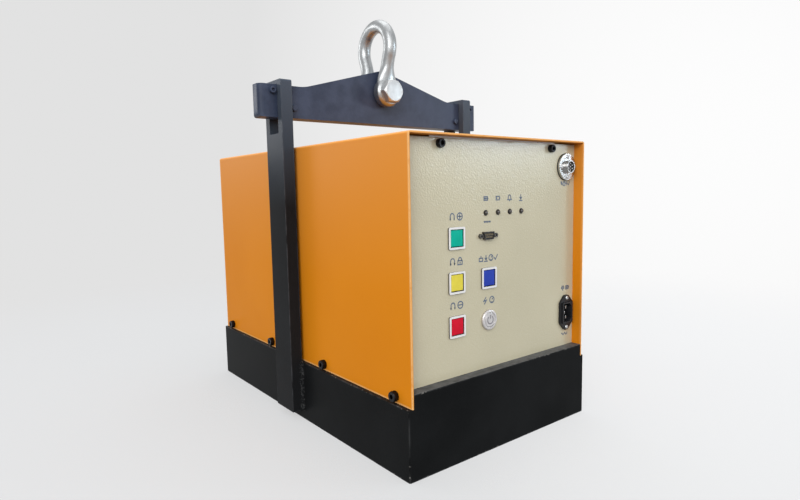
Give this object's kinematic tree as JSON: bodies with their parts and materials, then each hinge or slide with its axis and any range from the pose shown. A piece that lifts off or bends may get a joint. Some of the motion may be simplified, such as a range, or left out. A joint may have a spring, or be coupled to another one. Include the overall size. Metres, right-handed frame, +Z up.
{
  "type": "electro-permanent lifting magnet",
  "caption": "Battery-switched magnet block under a sheet cover with a push-button panel, slotted side arms, a floating lifting beam and a swinging bow shackle.",
  "frame": {"origin": "bottom centre of the magnet block, on the pole face", "axes": "+Z up, -Y out of the control panel, +X to the right of a person facing the panel, along the lifting beam"},
  "size_m": [0.392, 0.51, 0.5605],
  "materials": {
    "block_paint": "satin black enamel",
    "arm_paint": "satin dark grey enamel",
    "beam_paint": "satin blue-grey enamel",
    "cover_paint": "orange powder coat",
    "panel_paint": "cream fine-textured powder coat",
    "pole_steel": "ground mild steel",
    "alnico": "cast magnet alloy",
    "neodymium": "nickel plated magnet",
    "copper": "enamelled copper wire",
    "bobbin_plastic": "moulded",
    "resin": "cast resin, ground flush",
    "black_steel": "black oxide",
    "zinc_steel": "zinc plated",
    "galvanised": "hot-dip galvanised",
    "bezel_plastic": "moulded",
    "green_cap": "moulded",
    "yellow_cap": "moulded",
    "red_cap": "moulded",
    "blue_cap": "moulded",
    "nickel": "bright nickel",
    "gold_plate": "plated contact",
    "black_plastic": "moulded",
    "battery_plastic": "moulded",
    "gasket_rubber": "moulded",
    "lens_plastic": "clear lens",
    "board_green": "solder mask"
  },
  "bodies": {
    "base": {"magnet_housing": "block_paint", "pole_shoes": "pole_steel", "alnico_cores": "alnico", "coil_bobbins": "bobbin_plastic", "coil_windings": "copper", "neodymium_blocks": "neodymium", "pole_resin": "resin", "pole_screws": "black_steel", "left_arm": "arm_paint", "right_arm": "arm_paint", "arm_welds": "arm_paint", "cover_shell": "cover_paint", "cover_screws": "black_steel", "front_panel": "panel_paint", "rear_panel": "panel_paint", "panel_angles": "zinc_steel", "panel_screws": "black_steel", "button_housings": "bezel_plastic", "button_collars": "black_plastic", "switch_blocks": "black_plastic", "power_housing": "nickel", "power_nut": "nickel", "led_holders": "nickel", "led_lenses": "lens_plastic", "serial_shell": "nickel", "serial_insert": "black_plastic", "serial_jackscrews": "nickel", "remote_gasket": "gasket_rubber", "remote_shell": "nickel", "remote_insert": "black_plastic", "remote_pins": "gold_plate", "remote_screws": "zinc_steel", "inlet_body": "black_plastic", "inlet_blades": "gold_plate", "inlet_screws": "zinc_steel", "battery_tray": "zinc_steel", "battery_packs": "battery_plastic", "battery_strap": "zinc_steel", "controller_board": "board_green", "board_standoffs": "zinc_steel", "thyristor_modules": "black_plastic", "charger_module": "black_plastic"},
    "beam": {"lifting_beam": "beam_paint", "beam_stop_screws": "black_steel", "beam_keeper_pins": "black_steel"},
    "shackle": {"shackle_bow": "galvanised", "shackle_bolt": "galvanised", "shackle_nut": "galvanised", "shackle_cotter": "zinc_steel"},
    "green_button": {"green_button": "green_cap"},
    "yellow_button": {"yellow_button": "yellow_cap"},
    "red_button": {"red_button": "red_cap"},
    "blue_button": {"blue_button": "blue_cap"},
    "power_button": {"power_button": "nickel"}
  },
  "joints": [
    {"name": "beam_lift", "type": "slide", "parent": "base", "child": "beam", "axis": [0, 0, 1], "range_m": [-0.02, 0]},
    {"name": "shackle_swing", "type": "hinge", "parent": "beam", "child": "shackle", "pos_m": [0, 0, 0.453], "axis": [0, 1, 0], "range_deg": [-76, 76]},
    {"name": "green_press", "type": "slide", "parent": "base", "child": "green_button", "axis": [0, 1, 0], "range_m": [0, 0.0025], "stiffness_N_per_m": 800, "springref_m": -0.001},
    {"name": "yellow_press", "type": "slide", "parent": "base", "child": "yellow_button", "axis": [0, 1, 0], "range_m": [0, 0.0025], "stiffness_N_per_m": 800, "springref_m": -0.001},
    {"name": "red_press", "type": "slide", "parent": "base", "child": "red_button", "axis": [0, 1, 0], "range_m": [0, 0.0025], "stiffness_N_per_m": 800, "springref_m": -0.001},
    {"name": "blue_press", "type": "slide", "parent": "base", "child": "blue_button", "axis": [0, 1, 0], "range_m": [0, 0.0025], "stiffness_N_per_m": 800, "springref_m": -0.001},
    {"name": "power_press", "type": "slide", "parent": "base", "child": "power_button", "axis": [0, 1, 0], "range_m": [0, 0.002], "stiffness_N_per_m": 800, "springref_m": -0.001}
  ]
}
